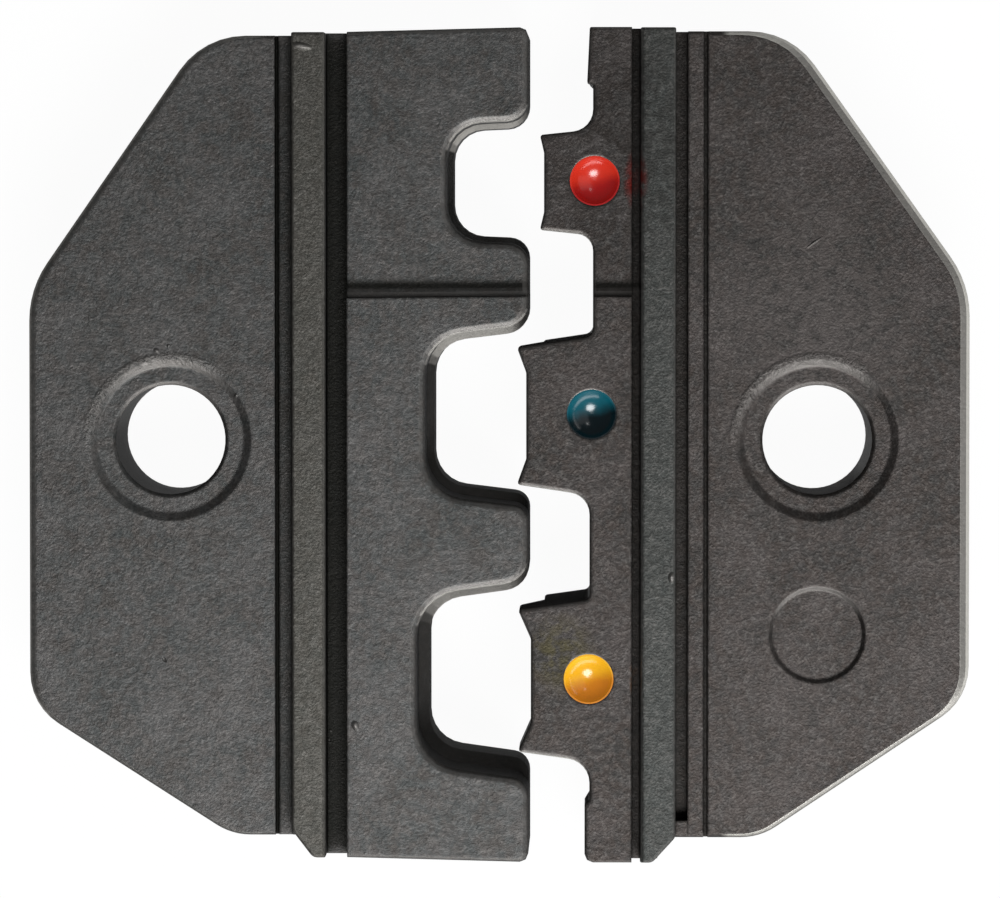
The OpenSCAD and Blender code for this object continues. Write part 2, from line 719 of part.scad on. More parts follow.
module blue_dot() {
    color([0.03, 0.28, 0.36]) dot(BLUE, blue_dot_u, body_t);
}

module yellow_dot() {
    color([0.95, 0.68, 0.08]) dot(YELLOW, yellow_dot_u, body_t);
}

nest_die();
anvil_die();
red_dot();
blue_dot();
yellow_dot();
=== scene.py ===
# %% [markdown]
# # A crimp die set, dressed for its portrait
#
# Two small steel dies lie on a pale table with their working edges facing each other. The
# left one has three nests, the right one three anvils, and a drop of red, blue or yellow
# enamel tells which terminal each station is for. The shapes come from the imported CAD
# model. This notebook adds the camera, the light, the blackened steel and the enamel.

import json

import bpy
from mathutils import Matrix, Vector

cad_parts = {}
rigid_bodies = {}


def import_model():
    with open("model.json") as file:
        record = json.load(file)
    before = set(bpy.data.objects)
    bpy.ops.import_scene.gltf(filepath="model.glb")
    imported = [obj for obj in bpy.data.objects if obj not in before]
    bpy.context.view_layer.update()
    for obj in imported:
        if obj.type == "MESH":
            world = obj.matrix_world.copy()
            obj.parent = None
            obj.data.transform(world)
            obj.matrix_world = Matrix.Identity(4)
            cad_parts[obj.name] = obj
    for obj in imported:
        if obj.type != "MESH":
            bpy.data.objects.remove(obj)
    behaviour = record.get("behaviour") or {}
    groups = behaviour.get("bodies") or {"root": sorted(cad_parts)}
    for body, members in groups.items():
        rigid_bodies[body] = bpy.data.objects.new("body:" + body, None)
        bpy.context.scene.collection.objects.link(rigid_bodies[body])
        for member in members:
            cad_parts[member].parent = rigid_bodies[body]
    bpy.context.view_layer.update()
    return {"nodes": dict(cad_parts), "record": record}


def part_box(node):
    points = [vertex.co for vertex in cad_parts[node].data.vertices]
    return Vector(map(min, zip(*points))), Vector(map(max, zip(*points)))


for leftover in list(bpy.data.objects):
    bpy.data.objects.remove(leftover, do_unlink=True)

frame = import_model()
nodes = frame["nodes"]
print("nodes:", sorted(nodes))

# %% [markdown]
# ## Sizes
#
# The model is in metres and the real thing is a few centimetres long, so it is easier to
# think in millimetres. One helper turns a place in millimetres into Blender's metres. The
# places of the screw holes and of the dots are read from the frame, so the finish follows
# the solids.

# %% Millimetres, and the places that the finish needs
MM = 0.001


def mm(x, y, z):
    return Vector((x, y, z)) * MM


def middle_mm(node):
    low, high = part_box(node)
    return (Vector(low) + Vector(high)) / 2 / MM


die_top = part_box("nest_die")[1][2] / MM
die_middle = die_top / 2
mounts = {mount["name"]: Vector(mount["pos_m"]) / MM for mount in frame["record"]["mounts"]}
nest_hole = mounts["nest_screw_hole"]
anvil_hole = mounts["anvil_screw_hole"]
red_place, blue_place, yellow_place = (middle_mm(n) for n in ("red_dot", "blue_dot", "yellow_dot"))
print("screw holes at x =", round(nest_hole.x, 2), "and", round(anvil_hole.x, 2), "mm")

# %% [markdown]
# ## Camera
#
# The photograph was taken from almost straight above, slightly right of the middle and
# above it: the steep inner walls of the nests show which way the lens leans. A long lens
# about 29 cm away gives the same gentle perspective. The camera stands over that point
# and looks at the middle of the set.

# %% Place the camera over the set
CAMERA_X, CAMERA_Y = 4.75, 10.6
AIM_X, AIM_Y = 0.07, -0.14
LENS_HEIGHT = 290.0
SENSOR = 36.0
PIXELS_PER_MM = 21.16
PICTURE_WIDTH = 1000

camera_data = bpy.data.cameras.new("studio_camera")
camera = bpy.data.objects.new("studio_camera", camera_data)
bpy.context.scene.collection.objects.link(camera)
camera.location = mm(CAMERA_X, CAMERA_Y, die_top + LENS_HEIGHT)
view_line = mm(AIM_X, AIM_Y, die_top) - camera.location
forward = view_line.normalized()
right = forward.cross(Vector((0, 1, 0))).normalized()
up = right.cross(forward)
camera.rotation_mode = "QUATERNION"
camera.rotation_quaternion = Matrix((right, up, -forward)).transposed().to_quaternion()
camera_data.sensor_width = SENSOR
camera_data.lens = PIXELS_PER_MM * (view_line.length / MM) / PICTURE_WIDTH * SENSOR
camera_data.clip_start = 0.01
camera_data.clip_end = 10.0
bpy.context.scene.camera = camera
print("lens:", round(camera_data.lens, 1), "mm")

# %% [markdown]
# ## Node helpers
#
# Materials are built from nodes. A few small helpers keep the cells short. The first ones
# add a node, set or link a socket, do sums and mix two colours. The next ones make masks
# out of places and directions on a die. The last ones make and use node groups with named
# sockets.

# %% Helpers for nodes
FLOAT, VECTOR = "NodeSocketFloat", "NodeSocketVector"


def add(tree, kind, **values):
    node = tree.nodes.new(kind)
    for name, value in values.items():
        setattr(node, name, value)
    return node


def feed(tree, socket, value):
    """Links a socket to another, or sets its plain value."""
    if isinstance(value, bpy.types.NodeSocket):
        tree.links.new(value, socket)
    else:
        socket.default_value = value


def maths(tree, operation, a, b=None, clamp=False):
    node = add(tree, "ShaderNodeMath", operation=operation, use_clamp=clamp)
    feed(tree, node.inputs[0], a)
    if b is not None:
        feed(tree, node.inputs[1], b)
    return node.outputs[0]


def times(tree, first, *others):
    result = first
    for other in others:
        result = maths(tree, "MULTIPLY", result, other)
    return result


def vector_maths(tree, operation, a, b):
    node = add(tree, "ShaderNodeVectorMath", operation=operation)
    feed(tree, node.inputs[0], a)
    feed(tree, node.inputs[1], b)
    return node.outputs["Value" if operation in ("DOT_PRODUCT", "DISTANCE") else "Vector"]


def tint(tree, amount, low, high):
    """Colour between two shades, led by a mask."""
    mix = add(tree, "ShaderNodeMix", data_type="RGBA", clamp_factor=True)
    feed(tree, mix.inputs["Factor"], amount)
    coloured = [socket for socket in mix.inputs if socket.type == "RGBA"]
    for socket, colour in zip(coloured, (low, high)):
        feed(tree, socket, (*colour, 1) if isinstance(colour, tuple) else colour)
    return [socket for socket in mix.outputs if socket.type == "RGBA"][0]


# %% Helpers for masks
def contrast(tree, value, low, high):
    """Stretches the part of a mask between low and high to 0 to 1, with soft ends."""
    node = add(tree, "ShaderNodeMapRange", interpolation_type="SMOOTHSTEP")
    feed(tree, node.inputs["Value"], value)
    feed(tree, node.inputs["From Min"], low)
    feed(tree, node.inputs["From Max"], high)
    return node.outputs["Result"]


def point(tree, x, y, z):
    node = add(tree, "ShaderNodeCombineXYZ")
    for axis, value in enumerate((x, y, z)):
        feed(tree, node.inputs[axis], value)
    return node.outputs[0]


def place_mm(tree):
    """The point that is shaded, in the die's own millimetres."""
    coords = add(tree, "ShaderNodeTexCoord")
    return vector_maths(tree, "MULTIPLY", coords.outputs["Object"], (1 / MM,) * 3)


def along(tree, vector, direction):
    """How far a place lies, or a surface looks, along a direction."""
    return vector_maths(tree, "DOT_PRODUCT", vector, direction)


def off_level(tree, place, direction, level):
    """Distance from the plane at a level along a direction."""
    return maths(tree, "ABSOLUTE", maths(tree, "SUBTRACT", along(tree, place, direction), level))


def distance_from(tree, place, centre):
    """Distance from an upright line through a centre whose height is 0."""
    return vector_maths(tree, "DISTANCE", vector_maths(tree, "MULTIPLY", place, (1, 1, 0)), centre)


# %% Helpers for node groups
def new_group(name, inputs, outputs):
    group = bpy.data.node_groups.new(name, "ShaderNodeTree")
    for label, value in inputs:
        kind = VECTOR if isinstance(value, tuple) else FLOAT
        socket = group.interface.new_socket(name=label, in_out="INPUT", socket_type=kind)
        socket.default_value = value
    for label, kind in outputs:
        group.interface.new_socket(name=label, in_out="OUTPUT", socket_type=kind)
    start = add(group, "NodeGroupInput")
    end = add(group, "NodeGroupOutput")
    print("group", name, "with", len(inputs), "inputs and", len(outputs), "outputs")
    return group, start.outputs, end.inputs


def use_group(tree, group, **values):
    node = add(tree, "ShaderNodeGroup", node_tree=group)
    for name, value in values.items():
        feed(tree, node.inputs[name.replace("_", " ")], value)
    return node.outputs


# %% [markdown]
# ## Table
#
# The catalogue picture has a plain white ground. A real white table lit like the dies
# would come out grey, and it would throw light up into the dark walls of the nests. So
# the material shows itself white to the camera and to reflections, and is a middle grey
# for all other light. Light Path tells it who is looking. A little of the real shading
# stays, so the soft shadow of the dies still shows.

# %% Make the table
TABLE_HALF = 0.6
WHITE_SHARE = 0.96
SEEN_PAPER, LIT_PAPER = (0.9, 0.9, 0.9), (0.22, 0.22, 0.22)

table_mesh = bpy.data.meshes.new("white_table")
table_mesh.from_pydata(
    [(-TABLE_HALF, -TABLE_HALF, 0), (TABLE_HALF, -TABLE_HALF, 0),
     (TABLE_HALF, TABLE_HALF, 0), (-TABLE_HALF, TABLE_HALF, 0)],
    [], [(0, 1, 2, 3)])
table = bpy.data.objects.new("white_table", table_mesh)
bpy.context.scene.collection.objects.link(table)
print("table:", 2 * TABLE_HALF, "m wide")

# %% Paper for the table
table_paper = bpy.data.materials.new("white_paper")
table_paper.use_nodes = True
tree = table_paper.node_tree
tree.nodes.clear()
path = add(tree, "ShaderNodeLightPath").outputs
looking = maths(tree, "MAXIMUM", path["Is Camera Ray"], path["Is Glossy Ray"])
looking = maths(tree, "MAXIMUM", looking, path["Is Transmission Ray"])
paper = add(tree, "ShaderNodeBsdfDiffuse")
feed(tree, paper.inputs["Color"], tint(tree, looking, LIT_PAPER, SEEN_PAPER))
glow = add(tree, "ShaderNodeEmission")
feed(tree, glow.inputs["Strength"], 1.0)
blend = add(tree, "ShaderNodeMixShader")
feed(tree, blend.inputs[0], times(tree, looking, WHITE_SHARE))
feed(tree, blend.inputs[1], paper.outputs[0])
feed(tree, blend.inputs[2], glow.outputs[0])
output = add(tree, "ShaderNodeOutputMaterial")
feed(tree, output.inputs["Surface"], blend.outputs[0])
table_mesh.materials.append(table_paper)
print("paper shows as white by", WHITE_SHARE)

# %% [markdown]
# ## Light
#
# The shading of the photograph tells where its lamps were. The steel gets lighter
# towards the bottom and the enamel shows one small round highlight just above its
# middle, so the main lamp hangs about 28 degrees off the vertical on the near side.
# Lips and bevels that face the near and right sides are bright and those that face away
# are nearly black, so two low cards stand there. A weak panel higher up on the right, a
# small lamp behind and a dim world add a little light from their sides.

# %% Hang the lamps
def lamp(name, place, size, power, shape="RECTANGLE"):
    data = bpy.data.lights.new(name, "AREA")
    data.shape = shape
    data.size, data.size_y = size[0] * MM, size[1] * MM
    data.energy = power
    thing = bpy.data.objects.new(name, data)
    bpy.context.scene.collection.objects.link(thing)
    thing.location = mm(*place)
    thing.rotation_mode = "QUATERNION"
    thing.rotation_quaternion = (mm(0, 0, die_middle) - thing.location).to_track_quat("-Z", "Y")
    print(name, "at", place, "mm,", power, "W")


lamp("main_lamp", (32, -150, 294), (180, 140), 1.15, "ELLIPSE")
lamp("front_card", (128, -264, 66), (640, 100), 0.95)
lamp("right_card", (285, 100, 60), (330, 90), 0.19)
lamp("right_panel", (169, 40, 196), (240, 240), 0.09)
lamp("rear_lamp", (88, 190, 256), (36, 36), 0.03, "ELLIPSE")

# %% Set the world and the view
WORLD_STRENGTH = 0.11

world = bpy.data.worlds.new("grey_studio")
bpy.context.scene.world = world
world.use_nodes = True
sky = world.node_tree.nodes["Background"]
sky.inputs["Color"].default_value = (1, 1, 1, 1)
sky.inputs["Strength"].default_value = WORLD_STRENGTH
bpy.context.scene.view_settings.view_transform = "Standard"
print("world strength:", WORLD_STRENGTH)

# %% [markdown]
# ## Grain
#
# The dies are blasted and then blackened. Close up, the skin is a fine relief of about a
# tenth of a millimetre, with larger clouds of lighter and darker grey and a mottled drift
# between warm and cool. Noise at several scales gives all of it. The grain can be drawn
# out a little along one direction, as in the enamel. The group works in the object's own
# millimetres, so the grain keeps its size and moves with each die.

# %% Build the grain group
GRAIN_TURN = 0.25
COARSE_SHARE = 0.4

grain, grain_in, grain_out = new_group(
    "blasted_grain",
    [("Grain Size", 0.15), ("Grain Run", 1.2), ("Cloud Size", 3.0), ("Seed", 0.0)],
    [("Fine", FLOAT), ("Clouds", FLOAT), ("Drift", FLOAT), ("Height", FLOAT)])


def noise(place, base, share, detail, rough):
    """Noise whose size is a share of one of the group's sizes."""
    node = add(grain, "ShaderNodeTexNoise", noise_dimensions="4D")
    size = maths(grain, "MULTIPLY", grain_in[base], share)
    feed(grain, node.inputs["Vector"], place)
    feed(grain, node.inputs["W"], grain_in["Seed"])
    feed(grain, node.inputs["Scale"], maths(grain, "DIVIDE", 1.0, size))
    feed(grain, node.inputs["Detail"], detail)
    feed(grain, node.inputs["Roughness"], rough)
    return node.outputs[0]


even_place = place_mm(grain)
turned = add(grain, "ShaderNodeVectorRotate", rotation_type="Z_AXIS")
feed(grain, turned.inputs["Vector"], even_place)
feed(grain, turned.inputs["Angle"], -GRAIN_TURN)
run = point(grain, grain_in["Grain Run"], 1.0, 1.0)
long_place = vector_maths(grain, "DIVIDE", turned.outputs[0], run)
fine = noise(long_place, "Grain Size", share=1.0, detail=3.0, rough=0.6)
coarse = noise(long_place, "Grain Size", share=2.6, detail=2.0, rough=0.5)
clouds = noise(even_place, "Cloud Size", share=1.0, detail=4.0, rough=0.65)
drift = noise(even_place, "Cloud Size", share=0.2, detail=3.0, rough=0.6)
feed(grain, grain_out["Fine"], fine)
feed(grain, grain_out["Clouds"], clouds)
feed(grain, grain_out["Drift"], drift)
feed(grain, grain_out["Height"], maths(
    grain, "ADD", times(grain, fine, 1 - COARSE_SHARE), times(grain, coarse, COARSE_SHARE)))

# %% [markdown]
# ## Worn edges
#
# Handling rubs the black skin off sharp edges. The Bevel node returns a normal that is
# rounded over near an edge, and where it differs from the true normal there is an edge.
# The group also marks sloping faces, between the flats that look straight up and the
# walls that stand upright, such as bevels and the ramps in the stations. A second
# rounding goes into the shading, because blasting softens every edge and corner.

# %% Build the edge group
wear, wear_in, wear_out = new_group(
    "worn_edges", [("Width", 0.15), ("Break Up", 0.5), ("Softness", 0.2)],
    [("Mask", FLOAT), ("Slope", FLOAT), ("Soft Normal", VECTOR)])

shape = add(wear, "ShaderNodeTexCoord")
upward = maths(wear, "ABSOLUTE", along(wear, shape.outputs["Normal"], (0, 0, 1)))
not_upright = contrast(wear, upward, 0.2, 0.5)
not_flat = contrast(wear, upward, 0.99, 0.85)
feed(wear, wear_out["Slope"], times(wear, not_upright, not_flat))
surface = add(wear, "ShaderNodeNewGeometry")
softened = add(wear, "ShaderNodeBevel", samples=6)
feed(wear, softened.inputs["Radius"], times(wear, wear_in["Width"], MM))
same = along(wear, softened.outputs[0], surface.outputs["Normal"])
sharp = contrast(wear, same, 0.99, 0.75)
feed(wear, wear_out["Mask"], maths(wear, "MULTIPLY", sharp, wear_in["Break Up"], clamp=True))
rounded = add(wear, "ShaderNodeBevel", samples=6)
feed(wear, rounded.inputs["Radius"], times(wear, wear_in["Softness"], MM))
feed(wear, wear_out["Soft Normal"], rounded.outputs[0])

# %% [markdown]
# ## Painted shade in the grooves
#
# Narrow grooves, seams and inner corners are painted darker, as painted shade. The
# Ambient Occlusion node tells how much of the sky a point sees within a given distance,
# and only counts the die itself.

# %% Build the groove group
groove_shade, groove_shade_in, groove_shade_out = new_group(
    "painted_groove_shade", [("Reach", 1.6), ("Open", 0.8), ("Deep", 0.42)], [("Mask", FLOAT)])
# painted shade: the mask darkens grooves and corners that see little of the sky
hidden = add(groove_shade, "ShaderNodeAmbientOcclusion", samples=12, only_local=True)
feed(groove_shade, hidden.inputs["Distance"], times(groove_shade, groove_shade_in["Reach"], MM))
feed(groove_shade, groove_shade_out["Mask"], contrast(groove_shade, hidden.outputs["AO"], groove_shade_in["Open"], groove_shade_in["Deep"]))

# %% [markdown]
# ## Painted light and shade on the sides
#
# Faces that look away from the lamps, towards the far side and the right, are painted
# nearly black as painted shade: the low sides of the nests, the tops of the anvils, the
# step between the stations and the deep walls that look to the right. A band at the foot
# of the step is painted as its shadow. The lips that look towards the near side are
# painted pale as painted light, except where a wall stands upright. The softened normal
# finds both kinds, and tells how steep a lip is.

# %% Build the oil group
SHADED_SIDE = (0.45, 0.89, 0)
LAMP_SIDE = (0, -1, 0)
STEP_FOOT_Y = 7.57
STEP_SHADOW_HALF = 0.45
BODY_START, BODY_SURE = 8.1, 8.5

light_and_shade, light_and_shade_in, light_and_shade_out = new_group(
    "painted_side_light_and_shade",
    [("Lean", 0.04), ("Full", 0.42), ("Hole X", 0.0), ("Step Foot", 0.0),
     ("Soft Normal", (0.0, 0.0, 1.0))],
    [("Mask", FLOAT), ("Foot", FLOAT), ("Lit Lip", FLOAT), ("Steep", FLOAT)])

# painted shade on faces that look away from the lamps
to_shaded_side = along(light_and_shade, light_and_shade_in["Soft Normal"], SHADED_SIDE)
# painted light on lips that look towards the near lamps
to_lamp_side = along(light_and_shade, light_and_shade_in["Soft Normal"], LAMP_SIDE)
to_lens = along(light_and_shade, light_and_shade_in["Soft Normal"], (0, 0, 1))
feed(light_and_shade, light_and_shade_out["Mask"], contrast(light_and_shade, to_shaded_side, light_and_shade_in["Lean"], light_and_shade_in["Full"]))
feed(light_and_shade, light_and_shade_out["Lit Lip"], times(
    light_and_shade, contrast(light_and_shade, to_lamp_side, 0.2, 0.5), contrast(light_and_shade, to_lens, 0.08, 0.3)))
feed(light_and_shade, light_and_shade_out["Steep"], contrast(light_and_shade, to_lens, 0.8, 0.45))

light_and_shade_place = place_mm(light_and_shade)
# a painted shadow band along the foot of the step, on the body only
off_foot = off_level(light_and_shade, light_and_shade_place, (0, 1, 0), light_and_shade_in["Step Foot"])
off_hole = off_level(light_and_shade, light_and_shade_place, (1, 0, 0), light_and_shade_in["Hole X"])
feed(light_and_shade, light_and_shade_out["Foot"], times(
    light_and_shade, contrast(light_and_shade, off_foot, STEP_SHADOW_HALF, 0.02), contrast(light_and_shade, off_hole, BODY_START, BODY_SURE)))

# %% [markdown]
# ## Places on a die
#
# Some marks belong to one place: burrs round the screw seats, a few pits and a nick,
# spots of colour beside the dots. One group is a soft spot in the object's own
# millimetres. It can be long and turned, for a scratch. Another is a pale ring on the far
# left side of each screw seat: partly burrs that the seat cutter left, partly a painted
# highlight where the seat's wall faces the lamps.

# %% Build the group for one mark
MARK_HALF_HEIGHT = 3.0

mark, mark_in, mark_out = new_group(
    "single_mark",
    [("Centre X", 0.0), ("Centre Y", 0.0), ("Half Width", 0.2), ("Half Length", 0.2),
     ("Angle", 0.0)],
    [("Mask", FLOAT)])

centre = point(mark, mark_in["Centre X"], mark_in["Centre Y"], die_top)
spun = add(mark, "ShaderNodeVectorRotate", rotation_type="Z_AXIS")
feed(mark, spun.inputs["Vector"], place_mm(mark))
feed(mark, spun.inputs["Center"], centre)
feed(mark, spun.inputs["Angle"], times(mark, mark_in["Angle"], -1.0))
away = vector_maths(mark, "SUBTRACT", spun.outputs[0], centre)
size = point(mark, mark_in["Half Width"], mark_in["Half Length"], MARK_HALF_HEIGHT)
away = vector_maths(mark, "DIVIDE", away, size)
feed(mark, mark_out["Mask"], contrast(
    mark, vector_maths(mark, "DISTANCE", away, (0, 0, 0)), 1.0, 0.2))

# %% Build the group for the burrs of a seat
GLINT_SIDE = (-0.5, 0.87, 0)
RING_INSIDE, RING_OUTSIDE = (3.5, 3.75), (4.2, 4.0)
RING_START, RING_SURE = 1.0, 3.4

burr_glint, burr_glint_in, burr_glint_out = new_group(
    "seat_burrs_and_glint", [("Hole X", 0.0), ("Hole Y", 0.0), ("Rough", 0.5)], [("Mask", FLOAT)])
hole_centre = point(burr_glint, burr_glint_in["Hole X"], burr_glint_in["Hole Y"], 0.0)
burr_place = place_mm(burr_glint)
radius = distance_from(burr_glint, burr_place, hole_centre)
far_side = along(burr_glint, vector_maths(burr_glint, "SUBTRACT", burr_place, hole_centre), GLINT_SIDE)
ring = times(burr_glint, contrast(burr_glint, radius, *RING_INSIDE), contrast(burr_glint, radius, *RING_OUTSIDE))
# partly burrs, partly a painted highlight on the seat's wall that faces the lamps
feed(burr_glint, burr_glint_out["Mask"], times(
    burr_glint, ring, contrast(burr_glint, far_side, RING_START, RING_SURE),
    contrast(burr_glint, burr_glint_in["Rough"], 0.28, 0.62)))

# %% [markdown]
# ## Blackened steel
#
# The skin is a thin black oxide on steel: dark, half matte and slightly metallic, with
# weak reflections at a glancing angle. It drifts between a cool and a warm shade, has
# lighter clouds, and the grain shows as dark pores and paler peaks. The faces of the ribs
# rub against the jaws of the tool and are a little lighter. A share from 0 to 1 tells how
# strongly each kind of wear, painted shade and painted light shows.

# %% Name the shades, shares and reaches, and lay the skin
PORE_AND_SHADE_BLACK = (0.007, 0.007, 0.006)
BARE_AND_LIT = (0.21, 0.20, 0.19)
GROUND_AND_GLINT = (0.46, 0.45, 0.42)
LIT_LIP_PALE = (0.66, 0.64, 0.60)
RIB_SHARE, PORE_SHARE, PEAK_SHARE = 0.7, 0.38, 0.25
EDGE_SHARE, BURR_GLINT_SHARE, BLEMISH_SHARE = 0.22, 0.4, 0.55
STEP_SHADOW_SHARE, RAMP_LIGHT_SHARE, LIP_SHARE = 0.92, 0.3, 0.75
WING_SIDE_SHADE, LIT_LIP_ON_BEVEL = 0.35, 0.5
RIB_BAND = 0.45
WING_REACH, BODY_REACH = 11.5, 16.5
BODY_NEAR, BODY_FAR = 4.0, 10.0
SEAT_REACH = 4.6
MARK_REACH = 2.7


def dark_skin(tree, skin, place, look):
    colour = tint(tree, contrast(tree, skin["Drift"], 0.36, 0.64), look["cool"], look["warm"])
    colour = tint(tree, contrast(tree, skin["Clouds"], 0.25, 0.85), colour, look["light"])
    off_middle = off_level(tree, place, (0, 0, 1), die_middle)
    on_rib = contrast(tree, off_middle, die_middle - RIB_BAND, die_middle - 0.1)
    colour = tint(tree, times(tree, on_rib, RIB_SHARE), colour, look["rib"])
    pores = contrast(tree, skin["Height"], 0.60, 0.28)
    colour = tint(tree, times(tree, pores, PORE_SHARE), colour, PORE_AND_SHADE_BLACK)
    peaks = contrast(tree, skin["Height"], 0.46, 0.74)
    return tint(tree, times(tree, peaks, PEAK_SHARE), colour, BARE_AND_LIT)


print("shades from", PORE_AND_SHADE_BLACK, "to", LIT_LIP_PALE)

# %% [markdown]
# ## Painted shade, lips and bevels
#
# The darkest of three kinds of painted shade wins: in the grooves, on the faces that look
# away from the lamps and at the step's foot. The ramps in the stations are painted a little
# paler, as painted light. The lips are painted pale as painted light, but not the outer
# walls, which lie beyond a reach along the die. The bevel round a wing is ground after the
# bath and painted pale, partly as that ground steel and partly as painted light where it
# faces the right-hand lamps, clear of the screw seat and of the round mark.

# %% Recipes for dirt, lips and bevels
def painted_shade_and_light(tree, colour, place, height, edges, ends, side_shade_mask, on_body, look):
    # painted shade: grooves, faces that look away from the lamps and the step's foot
    painted_shade = times(tree, use_group(tree, groove_shade)["Mask"], look["groove_shade_share"])
    for mask, share in ((side_shade_mask, look["side_shade"]), (ends["Foot"], STEP_SHADOW_SHARE)):
        painted_shade = maths(tree, "MAXIMUM", painted_shade, times(tree, mask, share))
    colour = tint(tree, painted_shade, colour, PORE_AND_SHADE_BLACK)
    # painted light on the sloping ramps of the stations
    colour = tint(tree, times(tree, edges["Slope"], on_body, RAMP_LIGHT_SHARE), colour, BARE_AND_LIT)
    reach = maths(tree, "ADD", WING_REACH, times(tree, on_body, BODY_REACH - WING_REACH))
    beyond = maths(tree, "SUBTRACT", off_level(tree, place, (0, 1, 0), 0.0), reach)
    # painted light on the lips that face the near side
    lips = times(tree, ends["Lit Lip"], contrast(tree, beyond, 0.8, 0.0))
    colour = tint(tree, times(tree, lips, LIP_SHARE), colour, BARE_AND_LIT)
    pale_lips = times(tree, lips, ends["Steep"], contrast(tree, height, 0.15, 0.5), on_body)
    return tint(tree, pale_lips, colour, LIT_LIP_PALE)


def ground_and_glint_bevel(tree, place, slope, hole, recess):
    """Mask of the bevel round a wing."""
    off_seat = distance_from(tree, place, (hole.x, hole.y, 0))
    outward = along(tree, place, (1 if hole.x > 0 else -1, 0, 0))
    wing_start = abs(hole.x) - SEAT_REACH
    bevel = times(tree, slope, contrast(tree, off_seat, SEAT_REACH - 0.1, SEAT_REACH),
                  contrast(tree, outward, wing_start, wing_start + 0.5))
    if recess:
        off_recess = distance_from(tree, place, (*recess, 0))
        bevel = times(tree, bevel, contrast(tree, off_recess, MARK_REACH - 0.1, MARK_REACH))
    return bevel


# the dark band at the step's foot is painted shadow
print("oil at the step's foot, y =", STEP_FOOT_Y, "mm")

# %% [markdown]
# ## Strays, painted reflections and blemishes
#
# Stray paint and a large darker patch over the upper part of the anvil die are soft spots
# of colour. The red and yellow spots beside their dots are painted reflections of the
# enamel on the steel. A blemish is a small pit or bump with paler steel on it.

# %% Recipes for strays and blemishes
def stray_paint_and_bounce(tree, colour, drift, strays_and_bounce):
    for spot_colour, centre, half_width, half_length, strength in strays_and_bounce:
        spot = use_group(tree, mark, Centre_X=centre[0], Centre_Y=centre[1],
                         Half_Width=half_width, Half_Length=half_length)["Mask"]
        spot = times(tree, spot, contrast(tree, drift, 0.35, 0.6), strength)
        colour = tint(tree, spot, colour, spot_colour)
    return colour


def blemished(tree, colour, relief, blemishes):
    for centre, half_width, half_length, angle, rise in blemishes:
        spot = use_group(tree, mark, Centre_X=centre[0], Centre_Y=centre[1],
                         Half_Width=half_width, Half_Length=half_length, Angle=angle)["Mask"]
        relief = maths(tree, "ADD", relief, times(tree, spot, rise))
        colour = tint(tree, times(tree, spot, BLEMISH_SHARE), colour, BARE_AND_LIT)
    return colour, relief


# the lips within these reaches are painted pale as painted light
print("lips are rubbed within", WING_REACH, "mm on a wing and", BODY_REACH, "mm on a body")

# %% [markdown]
# ## The two steels
#
# Each die gets its own material with its own seed and tints, because the right one came
# out of the bath a little browner and darker.

# %% Write the steel recipe
GRAIN_SIZE, CLOUD_SIZE = 0.105, 2.6
GRAIN_DEPTH = 0.06
STEEL_ROUGHNESS, STEEL_ROUGHNESS_RANGE = 0.37, 0.18


